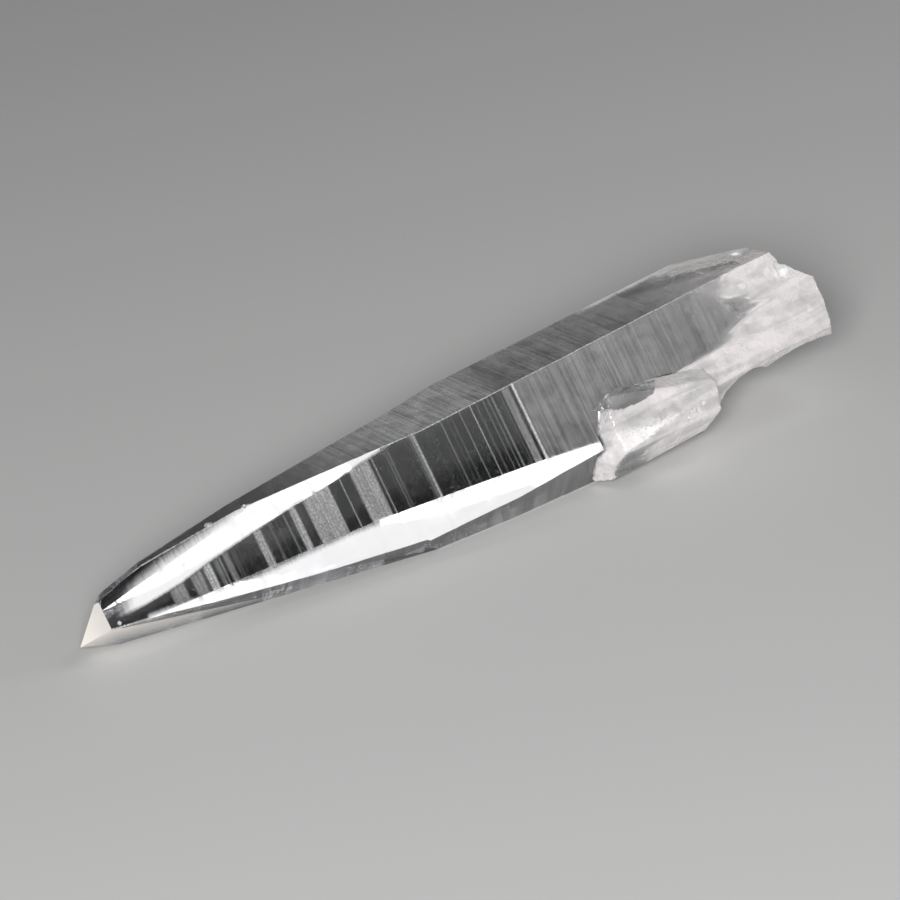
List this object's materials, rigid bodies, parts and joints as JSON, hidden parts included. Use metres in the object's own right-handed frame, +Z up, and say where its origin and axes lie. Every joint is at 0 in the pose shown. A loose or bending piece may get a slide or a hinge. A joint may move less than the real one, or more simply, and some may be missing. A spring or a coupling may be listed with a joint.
{
  "type": "lemurian quartz point",
  "caption": "Long clear six-sided quartz crystal with a faceted tip, fine growth ledges, a milky broken root and a small side crystal, lying on one face.",
  "frame": {"origin": "under the middle of the crystal's bounding box, on the surface it lies on", "axes": "+X from the tip toward the broken root, +Z up, the side crystal toward -Y"},
  "size_m": [0.1464, 0.027, 0.0258],
  "materials": {
    "quartz": "clear and glossy, milky at the root and on the side crystal"
  },
  "bodies": {
    "root": {"quartz_point": "quartz"}
  },
  "joints": []
}
